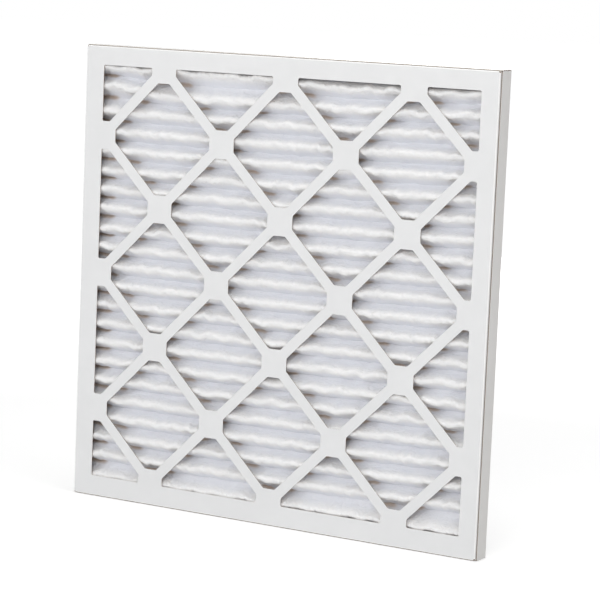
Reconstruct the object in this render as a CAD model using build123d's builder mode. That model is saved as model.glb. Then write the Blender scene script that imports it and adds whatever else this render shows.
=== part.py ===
from math import acos, atan, hypot, isclose, sin, tan
import os

from build123d import *

# A pleated panel air filter of nominal size 16 x 16 x 1 inch, standing on its bottom edge.
# X runs across the panel, Y from the air-entering face to the air-leaving face, Z up.
# The origin is at the middle of the bottom edge, and all sizes are in millimetres.

# Overall size: half an inch under the nominal width and height, a quarter under the depth
panel_width = 393.7
panel_height = 393.7
panel_depth = 19.05

# Paperboard of both trays, and its folds
board = 0.6
fold_radius = 0.9          # outside of a fold
fold_notch = 0.4           # relief at the ends of each fold
flap_corner = 1.6          # radius on the free corners of the flaps

# How the trays nest: the front tray sits inside the rear one, with glue between the flaps
glue_film = 0.25
glue_width = 9.0
glue_end_margin = 14.0
rear_flap_setback = 2.1    # from the front face to the free edge of the rear tray's flaps
tray_clearance = 0.3       # from the front tray's flaps to the inside of the rear tray
flap_gap = 0.15            # between the rear tray's flaps where they meet at a corner

# Glue tabs that close the corners of the front tray
tab_length = 24.0
tab_taper = 2.5
tab_clearance = 0.1

# Die-cut lattice of both trays
border = 16.8
lattice_step = 59.4        # from the centre of a window to the nearest crossing
lattice_steps = 6          # steps across the panel, an even number
strip_width = 8.95
crossing_size = 23.9
border_radius = 1.5        # in the right-angled corners at the border
turn_bevel = 0.6           # across the corners where strips meet crossings
front_cut_right = 1.4      # the front tray's opening is cut this far off the middle
front_cut_up = 0.8
front_lattice_right = 0.9  # and its lattice lies this far off the middle of the opening
front_lattice_up = 0.4

# Pleated media
media_thickness = 1.8
pleat_legs = 47            # odd: the sheet starts at the back and ends at the front
tip_clearance = 0.3        # from the pleats to the boards

# Expanded-metal backing, bonded to the air-leaving side of the media
mesh_thickness = 0.3
mesh_bond = 0.05
mesh_openings = 3          # in every second leg, and one less in the legs between
mesh_strand = 6.0
mesh_opening_share = 0.75  # part of a leg's flat height that an opening takes

# Adhesive that seals the pack into the front tray
side_seal = 0.9
end_seal = 0.4
seal_clearance = 0.1

# Worked-out sizes
mid_height = panel_height / 2
front_face = -panel_depth / 2
rear_face = panel_depth / 2
front_width = panel_width - 2 * (board + glue_film)
front_height = panel_height - 2 * (board + glue_film)
opening_width = front_width - 2 * border
opening_height = front_height - 2 * border
front_flap_end = rear_face - board - tray_clearance
rear_flap_end = front_face + rear_flap_setback
inside_width = front_width - 2 * board
inside_height = front_height - 2 * board
pack_width = inside_width - 2 * (side_seal + seal_clearance)
pack_height = inside_height - 2 * (end_seal + seal_clearance)

# The pleats: each fold is a sharp crease inside, and a round of the sheet's thickness outside.
# leg_angle is between the legs and Y, and fold_reach is half the depth of the sheet's middle line.
half_pitch = pack_height / pleat_legs
media_front = front_face + board + tip_clearance
media_rear = rear_face - board - tip_clearance - mesh_thickness - mesh_bond
media_middle = (media_front + media_rear) / 2
crease_depth = media_rear - media_front - 2 * media_thickness
leg_angle = acos(media_thickness / hypot(half_pitch, crease_depth)) - atan(crease_depth / half_pitch)
fold_reach = half_pitch / tan(leg_angle) / 2

os.makedirs("parts", exist_ok=True)

# Working planes: drawn on with Z to the right, or with Y to the right, and centred on the panel
across = Plane(origin=(0, 0, mid_height), x_dir=(0, 0, 1), z_dir=(-1, 0, 0))
upright = Plane(origin=(0, front_flap_end, mid_height), x_dir=(1, 0, 0), z_dir=(0, -1, 0))


def level(z):
    """Plane at a height, drawn on with Y to the right and X up, facing down."""
    return Plane(origin=(0, 0, z), x_dir=(0, 1, 0), z_dir=(0, 0, -1))


def side(x):
    """Plane at a place across the panel, drawn on with Y to the right and Z up."""
    return Plane.YZ.offset(x)


def lattice_windows(shift_x, shift_z):
    """All the windows of a die-cut opening, with the lattice in it moved by a shift."""
    reach = 2 * (opening_width + opening_height)
    steps = range(-lattice_steps // 2, lattice_steps // 2 + 1)
    crossings = [(i * lattice_step, j * lattice_step) for i in steps for j in steps if (i + j) % 2]
    strips = [n * lattice_step / 2 for n in range(1 - lattice_steps, lattice_steps, 2)]

    def at_border(corner):
        beside = isclose(abs(corner.X), opening_width / 2, abs_tol=turn_bevel / 2)
        return beside or isclose(abs(corner.Y), opening_height / 2, abs_tol=turn_bevel / 2)

    with BuildSketch() as windows:
        Rectangle(opening_width, opening_height)
        with Locations(*[(x + shift_x, z + shift_z) for x, z in crossings]):
            Rectangle(crossing_size, crossing_size, mode=Mode.SUBTRACT)
        with Locations(*[(n + shift_x, n + shift_z) for n in strips]):
            Rectangle(reach, strip_width, rotation=-45, mode=Mode.SUBTRACT)
        with Locations(*[(n + shift_x, -n + shift_z) for n in strips]):
            Rectangle(reach, strip_width, rotation=45, mode=Mode.SUBTRACT)
        chamfer(windows.vertices().filter_by(lambda corner: not at_border(corner)), turn_bevel)
        fillet(windows.vertices().filter_by(at_border), border_radius)
    return windows.sketch


def fold_section(edge, face, turn):
    """Section of a fold: board on the face at height face is turned up or down at edge."""
    centre = (edge - fold_radius, face + turn * fold_radius)
    start = -90 if turn > 0 else 0
    with BuildSketch() as section:
        with BuildLine():
            outer = CenterArc(centre, fold_radius, start, 90)
            inner = CenterArc(centre, fold_radius - board, start, 90)
            Line(outer @ 0, inner @ 0)
            Line(outer @ 1, inner @ 1)
        make_face()
    return section.sketch


def flap_outline(fold, free, low, high):
    """Flat part of a flap, from its fold to its free edge, with the free corners rounded."""
    with BuildSketch() as outline:
        with Locations(((fold + free) / 2, (low + high) / 2)):
            Rectangle(abs(free - fold), high - low)
        corners = outline.vertices().group_by(Axis.X)[-1 if free > fold else 0]
        fillet(corners, flap_corner)
    return outline.sketch


def pleated_line(distance, rear_tip=None):
    """Points down one surface of a pleated layer, at a distance behind the sheet's middle line.

    A rear_tip is the place along Y where the folds at the back are pressed flat.
    """
    points = []
    for k in range(-1, pleat_legs + 2):
        height = pack_height / 2 - k * half_pitch
        fold = media_middle + (-1 if k % 2 else 1) * fold_reach + distance / sin(leg_angle)
        if k % 2 or rear_tip is None:
            points.append((height, fold))
        else:
            flat = (fold - rear_tip) * tan(leg_angle)
            points += [(height + flat, rear_tip), (height - flat, rear_tip)]
    return points


# Front tray: lattice face, four flaps folded back, and tabs on the top and bottom flaps that are
# folded again and glued inside the side flaps
with BuildPart() as front_frame:
    fold_end = front_face + fold_radius
    tab_face = inside_width / 2 - tab_clearance
    with BuildSketch(Plane.XZ.offset(-front_face - board)):
        with Locations((0, mid_height)):
            Rectangle(front_width - 2 * fold_radius, front_height - 2 * fold_radius)
        with Locations((front_cut_right, mid_height + front_cut_up)):
            add(lattice_windows(front_lattice_right, front_lattice_up), mode=Mode.SUBTRACT)
    extrude(amount=board)

    with BuildSketch(Plane.XY.offset(mid_height)):
        add(fold_section(front_width / 2, front_face, 1))
        mirror(about=Plane.YZ)
    extrude(amount=front_height / 2 - fold_radius - fold_notch, both=True)
    with BuildSketch(side(front_width / 2 - board), side(-front_width / 2)):
        bottom = mid_height - front_height / 2
        add(flap_outline(fold_end, front_flap_end, bottom, bottom + front_height))
    extrude(amount=board)

    with BuildSketch(across):
        add(fold_section(front_height / 2, front_face, 1))
        mirror(about=Plane.YZ)
    extrude(amount=tab_face - fold_radius, both=True)
    with BuildSketch(level(mid_height + front_height / 2), level(mid_height - front_height / 2 + board)):
        with Locations(((fold_end + front_flap_end) / 2, 0)):
            Rectangle(front_flap_end - fold_end, 2 * (tab_face - fold_radius))
    extrude(amount=board)

    with BuildSketch(upright):
        add(fold_section(tab_face, front_height / 2, -1))
        mirror(about=Plane.YZ)
        mirror(about=Plane.XZ)
    extrude(amount=front_flap_end - fold_end)
    with BuildSketch(side(tab_face - board), side(-tab_face)):
        for up in (-1, 1):
            root = mid_height + up * (front_height / 2 - fold_radius)
            tip = root - up * tab_length
            with BuildLine():
                Polyline(
                    (fold_end, root),
                    (front_flap_end, root),
                    (front_flap_end - tab_taper, tip),
                    (fold_end + tab_taper, tip),
                    close=True,
                )
            make_face()
    extrude(amount=board)
front_frame.part.label = "front_frame"

# Rear tray: the same lattice, with flaps that wrap over the flaps of the front tray
with BuildPart() as rear_frame:
    fold_end = rear_face - fold_radius
    with BuildSketch(Plane.XZ.offset(-rear_face)):
        with Locations((0, mid_height)):
            Rectangle(panel_width - 2 * fold_radius, panel_height - 2 * fold_radius)
            add(lattice_windows(0, 0), mode=Mode.SUBTRACT)
    extrude(amount=board)

    with BuildSketch(Plane.XY.offset(mid_height)):
        add(fold_section(panel_width / 2, rear_face, -1))
        mirror(about=Plane.YZ)
    extrude(amount=panel_height / 2 - fold_radius - fold_notch, both=True)
    with BuildSketch(side(panel_width / 2 - board), side(-panel_width / 2)):
        add(flap_outline(fold_end, rear_flap_end, 0, panel_height - board - flap_gap))
    extrude(amount=board)

    with BuildSketch(across):
        add(fold_section(panel_height / 2, rear_face, -1))
        mirror(about=Plane.YZ)
    extrude(amount=panel_width / 2 - fold_radius - fold_notch, both=True)
    with BuildSketch(level(panel_height)):
        add(flap_outline(fold_end, rear_flap_end, -panel_width / 2, panel_width / 2))
    extrude(amount=board)
    with BuildSketch(level(board)):
        reach = panel_width / 2 - board - flap_gap
        add(flap_outline(fold_end, rear_flap_end, -reach, reach))
    extrude(amount=board)
rear_frame.part.label = "rear_frame"

# Media: one sheet, folded into pleats that run across the panel
with BuildPart() as pleated_media:
    with BuildSketch(across) as sheet:
        with BuildLine():
            near = pleated_line(-media_thickness / 2)
            far = pleated_line(media_thickness / 2)
            Polyline(*near, *reversed(far), close=True)
        make_face()
        inner_folds = sheet.vertices().filter_by(lambda corner: abs(corner.X) < (pack_height + half_pitch) / 2)
        by_depth = inner_folds.group_by(Axis.Y)
        fillet(by_depth[0] + by_depth[-1], media_thickness)
        Rectangle(pack_height, 2 * panel_depth, mode=Mode.INTERSECT)
    extrude(amount=pack_width / 2, both=True)
pleated_media.part.label = "pleated_media"

# Backing: follows the air-leaving side of the media, creased sharp at the front and pressed flat at
# the back, with rows of long openings that stagger from leg to leg
with BuildPart() as support_mesh:
    bond_face = media_thickness / 2 + mesh_bond
    with BuildSketch(across):
        with BuildLine():
            near = pleated_line(bond_face, media_rear + mesh_bond)
            far = pleated_line(bond_face + mesh_thickness, media_rear + mesh_bond + mesh_thickness)
            Polyline(*near, *reversed(far), close=True)
        make_face()
        Rectangle(pack_height, 2 * panel_depth, mode=Mode.INTERSECT)
    extrude(amount=pack_width / 2, both=True)
    outer_round = media_thickness + mesh_bond + mesh_thickness
    pressed_flat = outer_round * (1 / sin(leg_angle) - 1) * tan(leg_angle)
    opening_spacing = pack_width / mesh_openings
    half_length = (opening_spacing - mesh_strand) / 2
    half_opening = (half_pitch - pressed_flat) * mesh_opening_share / 2
    with BuildSketch(Plane.XZ):
        for leg in range(pleat_legs):
            count = mesh_openings - leg % 2
            leg_middle = mid_height + (pack_height - (2 * leg + 1) * half_pitch) / 2
            height = leg_middle + (pressed_flat if leg % 2 else -pressed_flat) / 2
            places = [((i - (count - 1) / 2) * opening_spacing, height) for i in range(count)]
            with Locations(*places):
                Polygon((-half_length, 0), (0, -half_opening), (half_length, 0), (0, half_opening))
    extrude(amount=panel_depth, both=True, mode=Mode.SUBTRACT)
support_mesh.part.label = "support_mesh"

# Adhesive between the nested flaps, one film on each edge of the panel
glue_middle = (rear_flap_end + front_flap_end) / 2
flap_glue = {}
for name, sign in (("left", -1), ("right", 1)):
    with BuildPart() as film:
        with Locations((sign * (front_width + glue_film) / 2, glue_middle, mid_height)):
            Box(glue_film, glue_width, panel_height - 2 * glue_end_margin)
    flap_glue[name] = film.part
for name, sign in (("bottom", -1), ("top", 1)):
    with BuildPart() as film:
        with Locations((0, glue_middle, mid_height + sign * (front_height + glue_film) / 2)):
            Box(panel_width - 2 * glue_end_margin, glue_width, glue_film)
    flap_glue[name] = film.part

# Adhesive that seals the pack: beads along the ends of the pleats, between the corner tabs, and
# strips under the first and last pleat
pack_seal = {}
seal_depth = media_rear - media_front
for name, sign in (("left", -1), ("right", 1)):
    with BuildPart() as bead:
        with Locations((sign * (inside_width - side_seal) / 2, media_middle, mid_height)):
            clear_of_tabs = front_height - 2 * (fold_radius + tab_length + seal_clearance)
            Box(side_seal, seal_depth, clear_of_tabs)
    pack_seal[name] = bead.part
for name, sign in (("bottom", -1), ("top", 1)):
    with BuildPart() as bead:
        with Locations((0, media_middle, mid_height + sign * (inside_height - end_seal) / 2)):
            Box(pack_width, seal_depth, end_seal)
    pack_seal[name] = bead.part

for piece in (front_frame, rear_frame, pleated_media, support_mesh):
    export_step(piece.part, f"parts/{piece.part.label}.step")
for group, pieces in (("flap_glue", flap_glue), ("pack_seal", pack_seal)):
    for name, solid in pieces.items():
        solid.label = f"{group}_{name}"
        export_step(solid, f"parts/{solid.label}.step")
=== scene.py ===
# %% [markdown]
# # A pleated panel air filter
#
# The filter is a sheet of white nonwoven media, folded into pleats and held in a shallow frame of
# two board trays. The trays come from a CAD model with their true folds and die-cut lattice, so
# this lesson keeps their shapes and gives them a finish. The media and the net of expanded metal
# behind it are made here, because their soft and fine forms are easier to make as meshes.
#
# Everything is in metres. X runs across the panel, Y from the air-entering face to the
# air-leaving face, and Z up. The origin is at the middle of the bottom edge.

# %% Load the fixed frame
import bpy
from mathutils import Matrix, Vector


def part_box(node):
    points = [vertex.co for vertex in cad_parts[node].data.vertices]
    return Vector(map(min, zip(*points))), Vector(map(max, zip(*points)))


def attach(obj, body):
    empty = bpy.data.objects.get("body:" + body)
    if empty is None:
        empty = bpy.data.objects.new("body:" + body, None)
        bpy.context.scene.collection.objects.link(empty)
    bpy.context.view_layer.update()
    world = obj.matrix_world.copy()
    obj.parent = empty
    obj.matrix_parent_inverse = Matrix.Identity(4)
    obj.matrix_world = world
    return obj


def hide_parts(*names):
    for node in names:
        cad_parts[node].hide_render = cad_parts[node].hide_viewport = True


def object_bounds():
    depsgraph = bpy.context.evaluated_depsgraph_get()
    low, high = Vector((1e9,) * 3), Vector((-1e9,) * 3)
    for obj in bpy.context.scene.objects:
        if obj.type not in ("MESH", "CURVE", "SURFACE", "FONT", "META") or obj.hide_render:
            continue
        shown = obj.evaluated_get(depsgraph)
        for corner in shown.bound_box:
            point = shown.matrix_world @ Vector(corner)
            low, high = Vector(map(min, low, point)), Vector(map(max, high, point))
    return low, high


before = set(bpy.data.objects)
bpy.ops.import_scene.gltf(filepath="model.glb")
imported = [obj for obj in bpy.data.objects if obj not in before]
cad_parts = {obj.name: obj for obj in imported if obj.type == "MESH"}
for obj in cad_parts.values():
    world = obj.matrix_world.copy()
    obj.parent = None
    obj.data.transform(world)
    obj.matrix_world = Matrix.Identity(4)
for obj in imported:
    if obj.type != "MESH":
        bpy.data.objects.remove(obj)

cad_low, cad_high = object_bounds()
print("nodes:", sorted(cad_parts))
print("CAD box:", tuple(cad_low), tuple(cad_high))

# %% Modules
from math import acos, atan, cos, degrees, hypot, pi, radians, sin, sqrt, tan

import bpy
import numpy as np
from mathutils import Matrix, Vector

MM = 0.001
print("lengths are in metres, and one millimetre is", MM)

# %% [markdown]
# ## Sizes taken from the frame
#
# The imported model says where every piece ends, so the sizes are read from the boxes of its nodes.
# Only three are written here: the radius of the board's folds, the number of pleat legs and the
# thickness of the media. How far the legs lean is the same sum that a maker does before folding:
# so many legs, of this thickness, in the room between the boards.

# %% Sizes from the frame
front_low, front_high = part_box("front_frame")
rear_low, rear_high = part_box("rear_frame")
pack_low, pack_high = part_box("pleated_media")
net_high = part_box("support_mesh")[1]

FOLD_RADIUS = 0.9 * MM
PLEAT_LEGS = 47
THICKNESS = 1.8 * MM

pack_width = pack_high.x - pack_low.x
pack_height = pack_high.z - pack_low.z
half_pitch = pack_height / PLEAT_LEGS
crease_depth = pack_high.y - pack_low.y - 2 * THICKNESS
leg_angle = acos(THICKNESS / hypot(half_pitch, crease_depth)) - atan(crease_depth / half_pitch)
print(f"pack {pack_width:.4f} x {pack_height:.4f} m, pitch {2 * half_pitch / MM:.2f} mm")
print(f"legs lean {degrees(leg_angle):.1f} degrees from Y")

# %% [markdown]
# ## The camera
#
# A long lens two metres away looks at the entering face from the right and a little from above.
# The camera could be aimed at a point, but then it would stand perfectly level. It is set by its
# three axes instead, so that its small roll is part of its placing.

# %% Camera
CAMERA_PLACE = (1.0055, -1.7402, 0.4662)
CAMERA_RIGHT = (0.86637, 0.49761, 0.04241)
CAMERA_UP = (-0.10391, 0.09655, 0.98989)
SENSOR_WIDTH = 36
FOCAL_SHARE = 2429.8 / 600  # the focal length over the width of the image
FARTHEST_SEEN = 100

right = Vector(CAMERA_RIGHT).normalized()
back = right.cross(Vector(CAMERA_UP)).normalized()
up = back.cross(right)
turned = Matrix((right, up, back)).transposed().to_4x4()
camera_data = bpy.data.cameras.new("product_camera")
camera_data.sensor_width = SENSOR_WIDTH
camera_data.lens = SENSOR_WIDTH * FOCAL_SHARE
camera_data.clip_end = FARTHEST_SEEN
camera = bpy.data.objects.new("product_camera", camera_data)
bpy.context.scene.collection.objects.link(camera)
camera.matrix_world = Matrix.Translation(CAMERA_PLACE) @ turned
bpy.context.scene.camera = camera
print(f"lens {camera_data.lens:.1f} mm")


# %% [markdown]
# ## Helpers for shader nodes
#
# A finish is a tree of nodes. Each node could be made, set and linked in three lines, but a long
# tree is easier to read when one call does all of it. `put` adds a node and fills its sockets,
# and the others are short for the nodes that come up again and again.

# %% Node helpers
def put(tree, kind, settings=None, **sockets):
    """A node of a kind; a socket is given a number, a colour or another node's output."""
    node = tree.nodes.new("ShaderNode" + kind)
    for name, value in (settings or {}).items():
        setattr(node, name, value)
    for name, value in sockets.items():
        counted = name[0] == "i" and name[1:].isdigit()
        key = int(name[1:]) if counted else name.replace("_", " ")
        if isinstance(value, bpy.types.NodeSocket):
            tree.links.new(value, node.inputs[key])
        else:
            node.inputs[key].default_value = value
    return node


def calc(tree, operation, first, second=0.0, third=0.0):
    """A Math node's output."""
    node = put(tree, "Math", {"operation": operation}, i0=first, i1=second, i2=third)
    return node.outputs[0]


def spread(tree, value, start, end, first=0.0, last=1.0, kind="LINEAR"):
    """A number that goes from first to last while the value goes from start to end."""
    settings = {"interpolation_type": kind}
    node = put(tree, "MapRange", settings, Value=value, i1=start, i2=end, i3=first, i4=last)
    return node.outputs[0]


def object_place(tree):
    """A point's place in metres, on axes that don't move with the camera."""
    return put(tree, "TexCoord").outputs["Object"]


print("node helpers are ready")

# %% [markdown]
# ## Floor and world
#
# The floor is plain pale paint. To look white it could be lit harder, but that would wash out the
# filter too. So it glows by itself, and only for the rays that show it: those of the camera, and
# those that come by way of gloss or glass. The glow grows with the distance from the filter, so
# that a faint shadow stays close to it. The world is white for the same rays, and for all others
# it is a dim, slightly cool room.

# %% Floor
WHITE = (1, 1, 1, 1)
FLOOR_PAINT = (0.82, 0.82, 0.82, 1)
FLOOR_RADIUS = 16
FLOOR_SIDES = 96
NEAR_RADIUS = 0.6
NEAR_GLOW = 0.37
FAR_RADIUS = 1.6
FAR_GLOW = 0.79


def seen_rays(tree):
    """1 for rays that show a surface, straight or by gloss or glass, and 0 for rays of light."""
    rays = put(tree, "LightPath").outputs
    seen = calc(tree, "MAXIMUM", rays["Is Camera Ray"], rays["Is Glossy Ray"])
    return calc(tree, "MAXIMUM", seen, rays["Is Transmission Ray"])


bpy.ops.mesh.primitive_circle_add(
    vertices=FLOOR_SIDES, radius=FLOOR_RADIUS, fill_type="NGON", location=(0, 0, 0)
)
floor = bpy.context.object
floor.name = "studio_floor"
floor_look = bpy.data.materials.new("pale_floor")
floor_look.use_nodes = True
tree = floor_look.node_tree
tree.nodes.clear()
away = put(tree, "VectorMath", {"operation": "LENGTH"}, i0=object_place(tree)).outputs["Value"]
glow = spread(tree, away, NEAR_RADIUS, FAR_RADIUS, NEAR_GLOW, FAR_GLOW)
seen_glow = calc(tree, "MULTIPLY", seen_rays(tree), glow)
paint = put(tree, "BsdfDiffuse", Color=FLOOR_PAINT).outputs[0]
shine = put(tree, "Emission", Color=WHITE, Strength=seen_glow).outputs[0]
both = put(tree, "AddShader", i0=paint, i1=shine).outputs[0]
put(tree, "OutputMaterial", Surface=both)
floor.data.materials.append(floor_look)
print("floor radius", FLOOR_RADIUS, "m")

# %% World
WORLD_LIGHT = 0.31
WORLD_COLOUR = (0.95, 0.975, 1.0, 1)

world = bpy.data.worlds.new("soft_room")
bpy.context.scene.world = world
world.use_nodes = True
tree = world.node_tree
tree.nodes.clear()
room = put(tree, "Background", Color=WORLD_COLOUR, Strength=WORLD_LIGHT).outputs[0]
white = put(tree, "Background", Color=WHITE, Strength=1).outputs[0]
chosen = put(tree, "MixShader", Fac=seen_rays(tree), i1=room, i2=white).outputs[0]
put(tree, "OutputWorld", Surface=chosen)
bpy.context.scene.view_settings.view_transform = "Standard"
print("world strength", WORLD_LIGHT)

# %% [markdown]
# ## Lamps
#
# White things need a soft light that still has a direction, or their folds disappear. One large
# lamp could give it, but then the sides and the back would be flat grey. Five smaller ones share
# the work: two in front, one at the right side, one above and one behind. The stronger front lamp
# stands to the right and high, so the tops of the pleats are bright and their undersides soft.

# %% Lamps
LAMP_COLOUR = (1.0, 0.985, 0.965)
LAMPS = (
    # name, place, size in metres, power in watts
    ("front_left_lamp", (-0.9, -1.7, 0.55), 1.0, 6.5),
    ("front_right_lamp", (0.5, -1.9, 0.9), 1.0, 11.8),
    ("side_lamp", (1.3, -0.3, 1.2), 0.8, 5.4),
    ("over_lamp", (0, -0.1, 1.5), 0.8, 6.2),
    ("rear_lamp", (-0.5, 1.9, 0.6), 1.0, 12),
)


def soft_lamp(name, place, target, size, watts):
    """A square area lamp that faces a target."""
    data = bpy.data.lights.new(name, "AREA")
    data.shape = "SQUARE"
    data.size = size
    data.energy = watts
    data.color = LAMP_COLOUR
    lamp = bpy.data.objects.new(name, data)
    bpy.context.scene.collection.objects.link(lamp)
    lamp.location = place
    aim = Vector(target) - Vector(place)
    lamp.rotation_euler = aim.to_track_quat("-Z", "Y").to_euler()


filter_middle = (0, 0, (cad_low.z + cad_high.z) / 2)
for name, place, size, watts in LAMPS:
    soft_lamp(name, place, filter_middle, size, watts)
print(len(LAMPS), "lamps")

# %% [markdown]
# ## How the flat sheet becomes pleats
#
# The media is one long strip that is scored across, folded to and fro, and glued at the tips. It
# could be drawn pleat by pleat, but then no two layers would agree. Here one function carries
# any point of the flat strip to its folded place, so the media, the net behind it and their
# unevenness all follow the same folds. `across` runs along a pleat and `along` down the strip.
#
# How far a leg leans and how far its creases reach depend on each other, so the two sums are
# done in turn until they agree.

# %% The length of a leg
BEND = 1.1 * MM
TURNS_TO_AGREE = 30

pack_middle = (pack_low.y + pack_high.y) / 2
tip_reach = (pack_high.y - pack_low.y - THICKNESS) / 2
lean = leg_angle
for _ in range(TURNS_TO_AGREE):
    crease_reach = tip_reach + BEND * (1 / sin(lean) - 1)
    lean = atan(half_pitch / 2 / crease_reach)
straight = half_pitch / sin(lean) - 2 * BEND / tan(lean)
quarter = BEND * (pi / 2 - lean)
leg_length = straight + 2 * quarter
sheet_length = PLEAT_LEGS * leg_length
print(f"each leg takes {leg_length / MM:.2f} mm of the strip, {sheet_length:.3f} m in all")


# %% The fold
def fold(across, along, lift):
    """Folded places of points of the flat strip, raised by lift towards the entering face."""
    leg = np.clip(np.floor(along / leg_length), 0, PLEAT_LEGS - 1)
    on_leg = along - leg * leg_length
    falling = np.where(leg % 2 == 0, -1.0, 1.0)
    from_start = on_leg < leg_length / 2
    to_tip = np.where(from_start, on_leg, leg_length - on_leg)
    turn = np.clip(to_tip / BEND, 0, pi / 2 - lean)
    tip_side = np.where(from_start, -falling, falling)
    run = np.maximum(to_tip - quarter, 0)
    away = np.where(from_start, -1.0, 1.0)
    tip_height = pack_high.z - (leg + np.where(from_start, 0, 1)) * half_pitch
    centre = pack_middle + tip_side * (crease_reach - BEND / sin(lean))
    out_y, out_z = tip_side * np.cos(turn), away * np.sin(turn)
    y = centre + BEND * out_y - tip_side * run * cos(lean)
    z = tip_height + BEND * out_z + away * run * sin(lean)
    facing = -tip_side
    return np.stack([across, y + facing * out_y * lift, z + facing * out_z * lift], axis=-1)


print("the first tip is at the back, and tips with an odd number are in front")

# %% [markdown]
# ## What makes the pleats uneven
#
# The strip is bonded to a net of diamond openings. Between its strands the soft media swells a
# little, and where a fold crosses the net it cannot run quite straight, so each tip is scalloped.
# Every tip also wanders by a millimetre or so. These small waves are drawn from a fixed seed.
#
# The pack as a whole went into its tray askew. It sits some millimetres high, most at the right,
# and a few of the first tips at the left are pushed up further. At the bottom the last tip at
# the back is pressed forward, and the last free one in front sags. Each of these is a smooth
# function of the tip and of the place along it. Moving the pleats one by one would take a table
# of numbers, and would look no better.

# %% Small waves and scallops
NET_LONG = 25.4 * MM
NET_SHORT = 10.3 * MM
WAVES = 11
SHORTEST_WAVE = 4.6 * MM
WAVE_SPAN = 12.0      # the longest wave over the shortest
WAVE_POWER = 0.12     # shorter waves are weaker by this power of their length
WHOLE_TIP = 0.5       # what the straight shift of a whole tip has in its wave

chance = np.random.RandomState(11)
wave_length = SHORTEST_WAVE * WAVE_SPAN ** chance.uniform(0, 1, (PLEAT_LEGS + 1, WAVES))
wave_phase = chance.uniform(0, 2 * pi, (PLEAT_LEGS + 1, WAVES))
tip_shift = chance.uniform(-1, 1, PLEAT_LEGS + 1)


def diamonds(across, along):
    """0 on the strands of the net and 1 in the middle of its openings."""
    down = along - sheet_length / 2
    first = np.sin(pi * (across / NET_LONG + down / NET_SHORT))
    second = np.sin(pi * (across / NET_LONG - down / NET_SHORT))
    return np.abs(first * second)


def tip_wave(tip, across):
    """How far a tip leaves its straight line, as a share from about -1 to 1."""
    phase = 2 * pi * across[..., None] / wave_length[tip] + wave_phase[tip]
    weight = (wave_length[tip] / wave_length.max()) ** WAVE_POWER
    return WHOLE_TIP * tip_shift[tip] + (np.sin(phase) * weight).sum(-1) / np.sqrt(WAVES)


print("net openings", NET_LONG / MM, "x", NET_SHORT / MM, "mm")

# %% How high each tip sits
RISE = 3.2 * MM
SLANT = 0.0115
BOW = 0.053
TWIST = 0.02
RISE_LIMITS = (0.8 * MM, 6.6 * MM)
TOP_RISE_LIMIT = 5 * MM            # for the two uppermost tips, which the border holds
PUSH = 4.5 * MM
PUSHED_TIPS = (
    # the tip pushed most, its share of the push, and where along it the push ends
    (3, 1.0, 45 * MM),
    (5, 1.4, -115 * MM),
)
PUSH_TIPS = 2                      # a push fades out over so many tips
PUSH_FADE = 55 * MM                # and over this length
LAST_FREE_TIP = PLEAT_LEGS - 2
LAST_TIP_SAGS = 2.2 * MM
LAST_TIP_LIMIT = 1.2 * MM


def tip_rise(tip, across):
    """How much higher a tip sits than in an even pack, because the pack went in askew."""
    above_middle = pack_height / 2 - tip * half_pitch
    rise = RISE + SLANT * across + BOW * across ** 2 - TWIST * across * above_middle
    rise = np.clip(rise, RISE_LIMITS[0], np.where(tip < 2, TOP_RISE_LIMIT, RISE_LIMITS[1]))
    for pushed, share, end in PUSHED_TIPS:
        near = np.clip(1 - np.abs(tip - pushed) / PUSH_TIPS, 0, 1)
        rise += PUSH * share * near * np.clip((end - across) / PUSH_FADE, 0, 1)
    sagging = np.minimum(rise - LAST_TIP_SAGS, LAST_TIP_LIMIT)
    return np.where(tip == LAST_FREE_TIP, sagging, rise)


print(f"rise of the middle tip {tip_rise(np.array(PLEAT_LEGS // 2), 0.0) / MM:.1f} mm")

# %% All unevenness together
WANDER = 0.65 * MM
SCALLOP = 1.35 * MM
SCALLOP_MEAN = 0.4
SCALLOP_SHIFT = 0.2   # how far down the net a fold meets it, in openings
REAR_SHARE = 0.45     # tips at the back are held by the net, and wave less
SWAY = 0.2 * MM       # tips also move a little in and out
SWAY_LENGTH = 9 * MM
SWAY_TURN = 5
LAST_TIP_PRESSED = 5.5 * MM


def uneven(across, along):
    """Shifts in Y and Z of the folded strip, largest at the tips."""
    leg = np.clip(np.floor(along / leg_length), 0, PLEAT_LEGS - 1).astype(int)
    share = along / leg_length - leg
    share = share * share * (3 - 2 * share)
    shift = np.zeros(across.shape + (3,))
    for end, weight in ((0, 1 - share), (1, share)):
        tip = leg + end
        front = np.where(tip % 2, 1.0, REAR_SHARE)
        scallop = diamonds(across, tip * leg_length + SCALLOP_SHIFT * NET_SHORT)
        inner = (tip > 0) & (tip < PLEAT_LEGS)
        wave = front * (WANDER * tip_wave(tip, across) - SCALLOP * (scallop - SCALLOP_MEAN))
        shift[..., 2] += inner * weight * (wave + tip_rise(tip, across))
        sway = 1 + np.sin(across / SWAY_LENGTH + SWAY_TURN * tip_shift[tip])
        shift[..., 1] += weight * front * SWAY * sway
        shift[..., 1] -= weight * (tip == PLEAT_LEGS - 1) * LAST_TIP_PRESSED
    return shift


print("tips wander by about", WANDER / MM, "mm and are scalloped by", SCALLOP / MM, "mm")


# %% [markdown]
# ## The media
#
# On the real filter this is a sheet of cotton and polyester fibres nearly two millimetres thick.
# A cloth simulation could crumple it, but its folds are scored and held, so the sheet starts as
# a flat grid of its real size and is folded by the function above. The rows of the grid are
# set close together at the folds and further apart on the straight legs. Solidify then gives
# the sheet its two faces and its cut rim, and the faces are eased apart where it swells.

# %% Helpers for meshes
def deselect_all():
    """Nothing is selected, so that an operator acts only on what is picked next."""
    if bpy.context.object and bpy.context.object.mode != "OBJECT":
        bpy.ops.object.mode_set(mode="OBJECT")
    bpy.ops.object.select_all(action="DESELECT")


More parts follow.
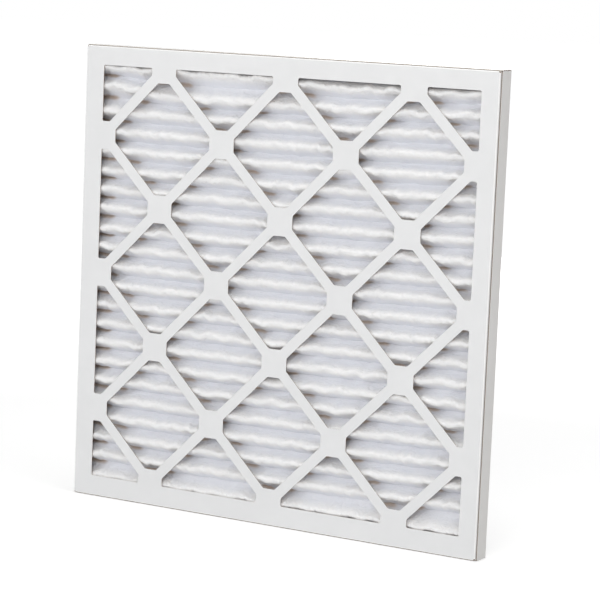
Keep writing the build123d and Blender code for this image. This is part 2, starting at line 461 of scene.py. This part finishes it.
def pick(piece):
    """The piece alone is selected and active."""
    deselect_all()
    piece.select_set(True)
    bpy.context.view_layer.objects.active = piece


def corners(piece):
    """The places of a mesh's corners, one row for each."""
    places = np.empty(len(piece.data.vertices) * 3)
    piece.data.vertices.foreach_get("co", places)
    return places.reshape(-1, 3)


def thicken(piece, thickness):
    """A sheet gets its second face and its rim, half of the thickness to each side."""
    wall = piece.modifiers.new("Thickness", "SOLIDIFY")
    wall.thickness = thickness
    wall.offset = 0
    pick(piece)
    bpy.ops.object.modifier_apply(modifier=wall.name)


def face_outwards(piece):
    """All faces of a closed piece point away from its inside."""
    pick(piece)
    bpy.ops.object.mode_set(mode="EDIT")
    bpy.ops.mesh.select_all(action="SELECT")
    bpy.ops.mesh.normals_make_consistent(inside=False)
    bpy.ops.object.mode_set(mode="OBJECT")


def triangles(piece):
    """How many triangles a mesh has."""
    piece.data.calc_loop_triangles()
    return len(piece.data.loop_triangles)


print("mesh helpers are ready")

# %% Flat grid of the strip
COLUMNS = 206
ROW_STEPS = (0, quarter, 0.36 * leg_length, 0.64 * leg_length, leg_length - quarter)

rows = [leg * leg_length + step for leg in range(PLEAT_LEGS) for step in ROW_STEPS]
rows = np.array(rows + [sheet_length])   # how far down the strip each row of corners lies

deselect_all()
bpy.ops.mesh.primitive_grid_add(x_subdivisions=COLUMNS, y_subdivisions=len(rows) - 1, size=1)
media = bpy.context.object
media.name = "media_sheet"
flat = corners(media)
count = len(flat)
sheet_across = flat[:, 0] * pack_width
sheet_along = rows[np.rint((0.5 - flat[:, 1]) * (len(rows) - 1)).astype(int)]
thicken(media, THICKNESS)
print("flat grid of", COLUMNS, "by", len(rows) - 1, "faces")

# %% Swelling of the sheet
SWELL = 0.35 * MM
SWELL_POWER = 0.7
HELD_IN = 0.15 * MM       # what the sheet is thinner at the strands
LUMP = 0.16 * MM
LUMP_WAVES = 14
LUMP_SIZES = (7, 30)      # in millimetres
LUMP_SEED = 5
CREASE_EASE = 4 * MM      # how far from a fold the sheet is free to swell


def lumps(across, along):
    """Slow soft noise over the strip, about -1 to 1."""
    waves = np.random.RandomState(LUMP_SEED)
    total = np.zeros(across.shape)
    for _ in range(LUMP_WAVES):
        angle = waves.uniform(0, pi)
        length = waves.uniform(*LUMP_SIZES) * MM
        phase = waves.uniform(0, 2 * pi)
        total += np.sin(2 * pi * (across * cos(angle) + along * sin(angle)) / length + phase)
    return total / sqrt(LUMP_WAVES)


swell = SWELL * diamonds(sheet_across, sheet_along) ** SWELL_POWER - HELD_IN
swell = swell + LUMP * lumps(sheet_across, sheet_along)
from_crease = np.abs((sheet_along + leg_length) % (2 * leg_length) - leg_length)
swell *= np.clip((from_crease - quarter) / CREASE_EASE, 0, 1)
print(f"the sheet swells by up to {swell.max() / MM:.2f} mm")

# %% Folded media
FRONT_PLAY = 0.2 * MM     # how far a tip may press forward towards the board

shift = uneven(sheet_across, sheet_along)
near = fold(sheet_across, sheet_along, THICKNESS / 2 + swell) + shift
far = fold(sheet_across, sheet_along, -THICKNESS / 2 * np.ones(count)) + shift
for face in (near, far):
    face[:, 1] = np.clip(face[:, 1], pack_low.y - FRONT_PLAY, pack_high.y)
    face[:, 2] = np.clip(face[:, 2], pack_low.z, pack_high.z)
media.data.vertices.foreach_set("co", np.concatenate([near, far]).ravel())

corner_vertex = np.empty(len(media.data.loops), int)
media.data.loops.foreach_get("vertex_index", corner_vertex)
places = np.stack([sheet_across / pack_width + 0.5, sheet_along / sheet_length], axis=-1)
media.data.uv_layers.active.data.foreach_set("uv", places[corner_vertex % count].ravel())
media.data.update()

face_outwards(media)
bpy.ops.object.shade_smooth()
print("media", triangles(media), "triangles")

# %% [markdown]
# ## The expanded-metal net
#
# Sheet metal is slit and pulled open into diamonds, then bonded to the air-leaving side of the
# media to hold its pleats. It could be drawn as wires, but the real strands are flat. So a
# grid is turned by 45 degrees and stretched into diamonds, each face is inset by half a strand and
# its inside deleted, and what is left is cut at every fold line and folded with the media.

# %% Flat net
STRAND = 0.9 * MM
NET_THICKNESS = 0.3 * MM
SAME_CORNER = 0.02 * MM

deselect_all()
cells = 2 * int((pack_width / NET_LONG + sheet_length / NET_SHORT) / 2 + 2)
bpy.ops.mesh.primitive_grid_add(x_subdivisions=cells, y_subdivisions=cells, size=cells)
net = bpy.context.object
net.name = "expanded_net"
bpy.ops.object.mode_set(mode="EDIT")
bpy.ops.mesh.select_all(action="SELECT")
bpy.ops.transform.rotate(value=radians(45), orient_axis="Z", center_override=(0, 0, 0))
bpy.ops.transform.resize(
    value=(NET_LONG / sqrt(2), NET_SHORT / sqrt(2), 1), center_override=(0, 0, 0)
)
for place, normal in (
    ((pack_width / 2, 0, 0), (1, 0, 0)),
    ((-pack_width / 2, 0, 0), (-1, 0, 0)),
    ((0, sheet_length / 2, 0), (0, 1, 0)),
    ((0, -sheet_length / 2, 0), (0, -1, 0)),
):
    bpy.ops.mesh.select_all(action="SELECT")
    bpy.ops.mesh.bisect(plane_co=place, plane_no=normal, clear_outer=True)
bpy.ops.mesh.select_all(action="SELECT")
bpy.ops.mesh.inset(
    thickness=STRAND / 2, use_individual=True, use_boundary=True, use_even_offset=True
)
bpy.ops.mesh.delete(type="FACE")
bpy.ops.mesh.select_all(action="SELECT")
bpy.ops.mesh.remove_doubles(threshold=SAME_CORNER)
net.update_from_editmode()
print("flat net", len(net.data.vertices), "corners")

# %% Net cut at the fold lines
cuts = [tip * leg_length + step for tip in range(PLEAT_LEGS + 1) for step in (-quarter, 0, quarter)]
for cut in cuts:
    if 0 < cut < sheet_length:
        bpy.ops.mesh.select_all(action="SELECT")
        bpy.ops.mesh.bisect(plane_co=(0, sheet_length / 2 - cut, 0), plane_no=(0, 1, 0))
bpy.ops.object.mode_set(mode="OBJECT")
print("cut net", len(net.data.vertices), "corners")

# %% Folded net
flat = corners(net)
net_across = flat[:, 0]
net_along = np.clip(sheet_length / 2 - flat[:, 1], 0, sheet_length)
gap = net_high.y - pack_high.y - NET_THICKNESS / 2
behind = -(THICKNESS / 2 + gap) * np.ones(len(flat))
folded = fold(net_across, net_along, behind) + uneven(net_across, net_along)
folded[:, 2] = np.clip(folded[:, 2], pack_low.z, pack_high.z)
net.data.vertices.foreach_set("co", folded.ravel())
net.data.update()
thicken(net, NET_THICKNESS)
face_outwards(net)
print("net", triangles(net), "triangles")

# %% [markdown]
# ## Tie the pieces to the model
#
# Both new pieces stand for a CAD node, whose own mesh is hidden, and ride on the one body of
# the filter. The size of the strip before it was folded is printed.

# %% Ties
for piece, node, finish in (
    (media, "pleated_media", "media"),
    (net, "support_mesh", "mesh_metal"),
):
    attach(piece, "root")
    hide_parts(node)
print(f"strip {pack_width:.3f} x {sheet_length:.3f} m")


# %% [markdown]
# ## Helpers for the finishes
#
# Every finish is a Principled shader fed by a few nodes. A number or colour that is the same
# all over goes straight on the shader's socket; only what varies over the surface has nodes.

# %% Finish helpers
def new_finish(name, **constant):
    """A material with a Principled shader; constants are set on its sockets."""
    material = bpy.data.materials.new(name)
    material.use_nodes = True
    shader = material.node_tree.nodes["Principled BSDF"]
    for socket, value in constant.items():
        shader.inputs[socket.replace("_", " ")].default_value = value
    return material, material.node_tree, shader


def noise(tree, vector, scale, detail, roughness, distortion=0.0):
    """A noise texture's output, from 0 to 1."""
    node = put(tree, "TexNoise", Vector=vector, Scale=scale, Detail=detail)
    node.inputs["Roughness"].default_value = roughness
    node.inputs["Distortion"].default_value = distortion
    return node.outputs[0]


def two_tone(tree, factor, low, first, high, last):
    """The first colour below a low factor, the last above a high one, and a blend between."""
    node = put(tree, "ValToRGB", Fac=factor)
    for point, place, colour in zip(node.color_ramp.elements, (low, high), (first, last)):
        point.position = place
        point.color = (*colour, 1)
    return node.outputs["Color"]


def mix(tree, share, first, second):
    """The first colour at a share of 0 and the second at 1; each is a colour or an output."""
    first, second = (
        colour if isinstance(colour, bpy.types.NodeSocket) else (*colour, 1)
        for colour in (first, second)
    )
    return put(tree, "MixRGB", Fac=share, Color1=first, Color2=second).outputs[0]


def bump(tree, shader, height, distance, strength):
    """Relief from a height, added to the shader's normal."""
    node = put(tree, "Bump", Height=height, Distance=distance, Strength=strength)
    tree.links.new(node.outputs["Normal"], shader.inputs["Normal"])


print("finish helpers are ready")

# %% [markdown]
# ## Coated board: how deep a point lies
#
# The trays are grey-brown board with a thin white coat on the outside only. A cut edge therefore
# shows a white line and a brown core, and the inside faces are plain brown. The finish could be
# put on face by face, but depth tells it all: how far a point lies under the outside of the tray
# is the same sum for flats, folds and cut edges, and it is made with a few Math nodes. The
# outside of a tray is taken as a box with rounded edges, open on the side away from its lattice.

# %% Depth under the outside of a tray
FLAP_BAND = 0.7 * MM      # the top flap lies within this of the top
END_BAND = 0.02 * MM      # its cut end lies within this of the side


def depth_under(tree, position, low, high, face_y, facing):
    """Four outputs about a point of a tray.

    The depth under the tray's rounded outside, how far the point is into a fold, whether it is
    in the top flap, and whether it is on the cut end of that flap. On the cut end the depth is
    counted from the top, because the end itself lies in the outside of the box.
    """
    x, y, z = (position.outputs[i] for i in range(3))
    half_x = (high.x - low.x) / 2 - FOLD_RADIUS
    half_z = (high.z - low.z) / 2 - FOLD_RADIUS
    past_x = calc(tree, "SUBTRACT", calc(tree, "ABSOLUTE", x), half_x)
    from_middle = calc(tree, "SUBTRACT", z, (low.z + high.z) / 2)
    past_z = calc(tree, "SUBTRACT", calc(tree, "ABSOLUTE", from_middle), half_z)
    past_y = calc(tree, "MULTIPLY_ADD", y, facing, FOLD_RADIUS - facing * face_y)
    squares = 0.0
    for past in (past_x, past_y, past_z):
        outside = calc(tree, "MAXIMUM", past, 0.0)
        squares = calc(tree, "MULTIPLY_ADD", outside, outside, squares)
    outer = calc(tree, "SQRT", squares)
    farthest = calc(tree, "MAXIMUM", calc(tree, "MAXIMUM", past_x, past_y), past_z)
    inner = calc(tree, "MINIMUM", farthest, 0.0)
    depth = calc(tree, "SUBTRACT", FOLD_RADIUS, calc(tree, "ADD", outer, inner))
    at_end = calc(tree, "GREATER_THAN", past_x, FOLD_RADIUS - END_BAND)
    in_top_flap = calc(tree, "GREATER_THAN", z, high.z - FLAP_BAND)
    flap_end = calc(tree, "MULTIPLY", at_end, in_top_flap)
    from_top = calc(tree, "SUBTRACT", high.z, z)
    depth = calc(tree, "MAXIMUM", depth, calc(tree, "MULTIPLY", flap_end, from_top))
    in_fold = calc(tree, "MINIMUM", calc(tree, "MAXIMUM", past_x, past_z), past_y)
    return depth, in_fold, in_top_flap, flap_end


print("depth is counted from the outside of a tray inwards")

# %% [markdown]
# ## Coated board: its colours
#
# The coat is white with a slow cloudiness, cooler on the front tray. On the rear tray, which forms
# the sides that are seen, it is painted darker and warmer, as their shade, and along the folds it
# is painted lighter, as a highlight. Under it comes the core, which shows only on cut edges:
# painted pale along the top flap, as the light from above, and painted dark at the end of that
# flap, as the shade in the gap there. Below the core the board is kraft brown with fine flecks of
# fibre, which the inside of a tray shows. One colour for each face would be simpler, but a cut edge
# has all of these across half a millimetre.

# %% Board colours
COAT = 0.16 * MM
CORE = 0.5 * MM
COATED_WHITE = (0.825, 0.831, 0.840)
COAT_SHADE = (0.80, 0.806, 0.815)
# painted shade: the rear tray, which forms the sides, is painted darker and warmer than the front
REAR_WHITE_PAINTED_SHADE = (0.775, 0.76, 0.745)
REAR_CLOUD_PAINTED_SHADE = (0.75, 0.735, 0.72)
# painted highlight: the coat is lighter along its folds
FOLD_PAINTED_HIGHLIGHT = (0.97, 0.97, 0.965)
CORE_BROWN = (0.27, 0.20, 0.15)
# painted light: the core along the top flap is paler, as lit from above
CORE_PAINTED_TOP_LIGHT = (0.58, 0.53, 0.46)
# painted shade: the cut end of the top flap is dark, as the shadow in the gap there
CORE_PAINTED_GAP_SHADE = (0.14, 0.09, 0.065)
KRAFT = (0.33, 0.215, 0.13)
KRAFT_DARK = (0.25, 0.155, 0.09)
FOLD_HIGHLIGHT_ZONE = (-0.1 * MM, 0.2 * MM)
FLECK_SCALE = (500, 900, 1600)
COATED_ROUGHNESS = 0.48
RAW_ROUGHNESS = 0.85

print("coat", COAT / MM, "mm, and core down to", CORE / MM, "mm")


# %% Colour and finish of a tray
def board_colour(tree, place, coat_colours, low, high, face_y, facing):
    """The colour of a tray's board, and 1 where the coat is."""
    split = put(tree, "SeparateXYZ", Vector=place)
    depth, in_fold, in_top_flap, flap_end = depth_under(tree, split, low, high, face_y, facing)
    cloudy = noise(tree, place, scale=38, detail=4, roughness=0.55)
    coat = two_tone(tree, cloudy, 0.3, coat_colours[0], 0.7, coat_colours[1])
    # the folds are painted lighter, as a highlight
    coat = mix(tree, spread(tree, in_fold, *FOLD_HIGHLIGHT_ZONE), coat, FOLD_PAINTED_HIGHLIGHT)
    fibres = put(tree, "Mapping", Vector=place, Scale=FLECK_SCALE).outputs[0]
    fleck = noise(tree, fibres, scale=1.0, detail=3, roughness=0.6)
    kraft = two_tone(tree, fleck, 0.35, KRAFT_DARK, 0.7, KRAFT)
    # the core of the top flap is painted pale, as the light from above
    core = mix(tree, in_top_flap, CORE_BROWN, CORE_PAINTED_TOP_LIGHT)
    # the end of the top flap is painted dark, as shade in the gap
    core = mix(tree, flap_end, core, CORE_PAINTED_GAP_SHADE)
    under_coat = mix(tree, calc(tree, "LESS_THAN", depth, CORE), kraft, core)
    in_coat = calc(tree, "LESS_THAN", depth, COAT)
    return mix(tree, in_coat, under_coat, coat), in_coat


def board_finish(name, coat_colours, low, high, face_y, facing):
    """White coat outside, brown core on cut edges, kraft inside."""
    material, tree, shader = new_finish(
        name, Specular_IOR_Level=0.4, Coat_Weight=0.25, Coat_Roughness=0.3
    )
    place = object_place(tree)
    colour, in_coat = board_colour(tree, place, coat_colours, low, high, face_y, facing)
    tree.links.new(colour, shader.inputs["Base Color"])
    rough = spread(tree, in_coat, 0.0, 1.0, RAW_ROUGHNESS, COATED_ROUGHNESS)
    tree.links.new(rough, shader.inputs["Roughness"])
    grain = noise(tree, place, scale=900, detail=3, roughness=0.6)
    bump(tree, shader, grain, distance=0.02 * MM, strength=0.5)
    return material


print("a tray's finish is ready")

# %% The two trays
# the rear tray gets the coat that is painted darker and warmer, as shade on the sides
cool, rear_painted_shade_coat = (COAT_SHADE, COATED_WHITE), (REAR_CLOUD_PAINTED_SHADE, REAR_WHITE_PAINTED_SHADE)
boards = {
    "front_frame": board_finish(
        "front_coated_board", cool, front_low, front_high, front_low.y, -1
    ),
    "rear_frame": board_finish("rear_coated_board", rear_painted_shade_coat, rear_low, rear_high, rear_high.y, 1),
}
for node, material in boards.items():
    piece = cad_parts[node]
    piece.data.materials.clear()
    piece.data.materials.append(material)
print("board finishes:", sorted(boards))

# %% [markdown]
# ## Nonwoven media: the shader
#
# The sheet is a felt of fine white fibres. Light passes into it and out again, which fills its
# shadows. A plain white paint would look like plaster, so the shader has some subsurface
# scattering and a little sheen for the fuzz.

# %% Media shader
media_finish, tree, shader = new_finish(
    "nonwoven_media",
    Roughness=0.95,
    Subsurface_Weight=0.25,
    Subsurface_Radius=(1.0, 0.95, 0.9),
    Subsurface_Scale=1.5 * MM,
    Sheen_Weight=0.15,
    Sheen_Roughness=0.6,
    Specular_IOR_Level=0.15,
)
media.data.materials.append(media_finish)
print("media finish:", media_finish.name)

# %% [markdown]
# ## Nonwoven media: the relief
#
# The felt is lumpy and torn rather than smooth. The relief has four layers: soft clumps all
# over, frayed tufts on the tips in front, streaks of fibre that cross each other, and a trace of
# fine fuzz. The coarse layers do the work, because fine relief only makes a white sheet greyer.
# All of them are laid out on the sheet's own flat map, so the pattern turns with every fold.

# %% Layers of the relief
FRAYED_FROM, FRAYED_ALL = 0.55, 0.95   # from a tip at the back, 0, to one in front, 1


def fibre_streaks(tree, strip, turn, scale):
    """Streaks of fibre that lie turned on the strip."""
    laid = put(tree, "Mapping", Vector=strip, Rotation=(0, 0, turn), Scale=(*scale, 1))
    return noise(tree, laid.outputs[0], scale=1.0, detail=2, roughness=0.5, distortion=0.6)


flat_map = put(tree, "TexCoord").outputs["UV"]
strip = put(tree, "Mapping", Vector=flat_map, Scale=(pack_width, sheet_length, 1)).outputs[0]
down = put(tree, "SeparateXYZ", Vector=strip).outputs[1]
to_front = calc(tree, "PINGPONG", calc(tree, "DIVIDE", down, leg_length), 1.0)
at_tips = spread(tree, to_front, FRAYED_FROM, FRAYED_ALL, kind="SMOOTHSTEP")
clump = noise(tree, strip, scale=150, detail=1.5, roughness=0.45, distortion=0.6)
frayed = noise(tree, strip, scale=270, detail=2, roughness=0.5, distortion=1.6)
rising = fibre_streaks(tree, strip, 0.5, (190, 640))
sinking = fibre_streaks(tree, strip, -0.65, (170, 580))
streaks = calc(tree, "MAXIMUM", rising, sinking)
fuzz = noise(tree, strip, scale=900, detail=2, roughness=0.5)
print("layers: clumps, frayed tips, streaks and fuzz")

# %% Media relief
CLUMP_HEIGHT = 1.2
FRAY_HEIGHT = 1.1
STREAK_HEIGHT = 0.5
FUZZ_HEIGHT = 0.05
RELIEF_DEPTH = 1.0 * MM

relief = calc(tree, "MULTIPLY", clump, CLUMP_HEIGHT)
relief = calc(tree, "MULTIPLY_ADD", calc(tree, "MULTIPLY", frayed, at_tips), FRAY_HEIGHT, relief)
relief = calc(tree, "MULTIPLY_ADD", streaks, STREAK_HEIGHT, relief)
relief = calc(tree, "MULTIPLY_ADD", fuzz, FUZZ_HEIGHT, relief)
bump(tree, shader, relief, distance=RELIEF_DEPTH, strength=1.0)
print("relief", RELIEF_DEPTH / MM, "mm deep")

# %% [markdown]
# ## Nonwoven media: the colour
#
# The felt is a plain white on its crests. Its valleys are painted darker and bluer, as the shade
# there, where mostly light from the room comes in. Deep in the pleats, behind the strips of the
# lattice and behind the left and right borders, where the brown inside of the board is close, it
# is painted a dark brown, as shade with light bounced off that board. Bounced light would do this
# by itself, but only faintly, so it is helped by this painted tint. The distance to the nearest
# strip comes from two diagonal zigzags, one for each way the strips run.

# %% Distance from the board
LATTICE_MIDDLE_X = 2.3 * MM
LATTICE_MIDDLE_Z = 198.05 * MM
LATTICE_STEP = 59.4 * MM
OPENING_MIDDLE = 1.4 * MM
UNDER_STRIP = (0.85, 0.95)             # from the middle of a window, 0, to a strip, 1
BESIDE_BORDER = (171 * MM, 177 * MM)   # from the middle of the opening

x, y, z = put(tree, "SeparateXYZ", Vector=object_place(tree)).outputs
off_x = calc(tree, "SUBTRACT", x, LATTICE_MIDDLE_X)
off_z = calc(tree, "SUBTRACT", z, LATTICE_MIDDLE_Z)
zigzags = []
for way in ("ADD", "SUBTRACT"):
    diagonal = calc(tree, "DIVIDE", calc(tree, way, off_x, off_z), LATTICE_STEP)
    zigzags.append(calc(tree, "PINGPONG", diagonal, 1.0))
to_strip = calc(tree, "MAXIMUM", *zigzags)
from_side = calc(tree, "ABSOLUTE", calc(tree, "SUBTRACT", x, OPENING_MIDDLE))
under = spread(tree, to_strip, *UNDER_STRIP, kind="SMOOTHSTEP")
beside = spread(tree, from_side, *BESIDE_BORDER, kind="SMOOTHSTEP")
near_board = calc(tree, "MAXIMUM", under, beside)
print("lattice step", LATTICE_STEP / MM, "mm")

# %% Media colour
CREST_WHITE = (0.965, 0.964, 0.972)
# painted shade: the valleys are darker and bluer than the crests
VALLEY_PAINTED_SHADE = (0.85, 0.861, 0.904)
# painted shade: deep behind the strips and borders the felt is a dark brown, as shadow and bounce
PAINTED_BROWN_SHADE = (0.66, 0.57, 0.51)
CREST_TO_VALLEY = (-7 * MM, 2 * MM)    # in Y, from the crests inwards
BROWN_SHADE_DEPTH = (2 * MM, 6 * MM)

# painted shade grows from the crests into the valleys
painted_valley_shade = spread(tree, y, *CREST_TO_VALLEY, kind="SMOOTHSTEP")
deep = spread(tree, y, *BROWN_SHADE_DEPTH, kind="SMOOTHSTEP")
# where the painted brown shade goes: deep in the pleats, close behind the board
painted_brown_shade_share = calc(tree, "MULTIPLY", near_board, deep)
tint = mix(tree, painted_valley_shade, CREST_WHITE, VALLEY_PAINTED_SHADE)
tint = mix(tree, painted_brown_shade_share, tint, PAINTED_BROWN_SHADE)
tree.links.new(tint, shader.inputs["Base Color"])
print("media colours from crest to valley")

# %% [markdown]
# ## Galvanised net
#
# The net is thin galvanised steel, dull grey with a faint cloudiness from the zinc. An even grey
# metal would look like new chrome here, so one noise moves the colour and the gloss together.

# %% Net finish
ZINC_DULL = (0.50, 0.51, 0.53)
ZINC_BRIGHT = (0.66, 0.67, 0.68)
ZINC_ROUGHNESS = (0.5, 0.34)           # where it is dull, and where it is bright

material, tree, shader = new_finish("galvanised_net", Metallic=1.0)
place = object_place(tree)
zinc = noise(tree, place, scale=240, detail=4, roughness=0.6)
tint = two_tone(tree, zinc, 0.3, ZINC_DULL, 0.7, ZINC_BRIGHT)
tree.links.new(tint, shader.inputs["Base Color"])
dull = spread(tree, zinc, 0.3, 0.7, *ZINC_ROUGHNESS)
tree.links.new(dull, shader.inputs["Roughness"])
grit = noise(tree, place, scale=1500, detail=2, roughness=0.5)
bump(tree, shader, grit, distance=0.03 * MM, strength=0.6)
net.data.materials.append(material)
print("net finish:", material.name)

# %% [markdown]
# ## Dried adhesive
#
# The films between the flaps and the seals along the pack are white adhesive that has dried a
# little uneven. It could be plain paint, but where it pools it stays glossier and paler, so one
# noise again moves both.

# %% Adhesive finish
GLUE_THIN = (0.74, 0.71, 0.63)
GLUE_POOLED = (0.84, 0.82, 0.76)
GLUE_ROUGHNESS = (0.55, 0.3)           # where it is thin, and where it pooled

adhesive, tree, shader = new_finish(
    "dried_adhesive", Subsurface_Weight=0.2, Subsurface_Scale=1.0 * MM
)
place = object_place(tree)
pooled = noise(tree, place, scale=160, detail=3, roughness=0.55)
tint = two_tone(tree, pooled, 0.3, GLUE_THIN, 0.7, GLUE_POOLED)
tree.links.new(tint, shader.inputs["Base Color"])
dry = spread(tree, pooled, 0.3, 0.7, *GLUE_ROUGHNESS)
tree.links.new(dry, shader.inputs["Roughness"])
ripple = noise(tree, place, scale=420, detail=3, roughness=0.6)
bump(tree, shader, ripple, distance=0.2 * MM, strength=0.7)
glued = [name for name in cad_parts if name.startswith(("flap_glue", "pack_seal"))]
for name in glued:
    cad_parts[name].data.materials.clear()
    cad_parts[name].data.materials.append(adhesive)
print("adhesive on", len(glued), "pieces")
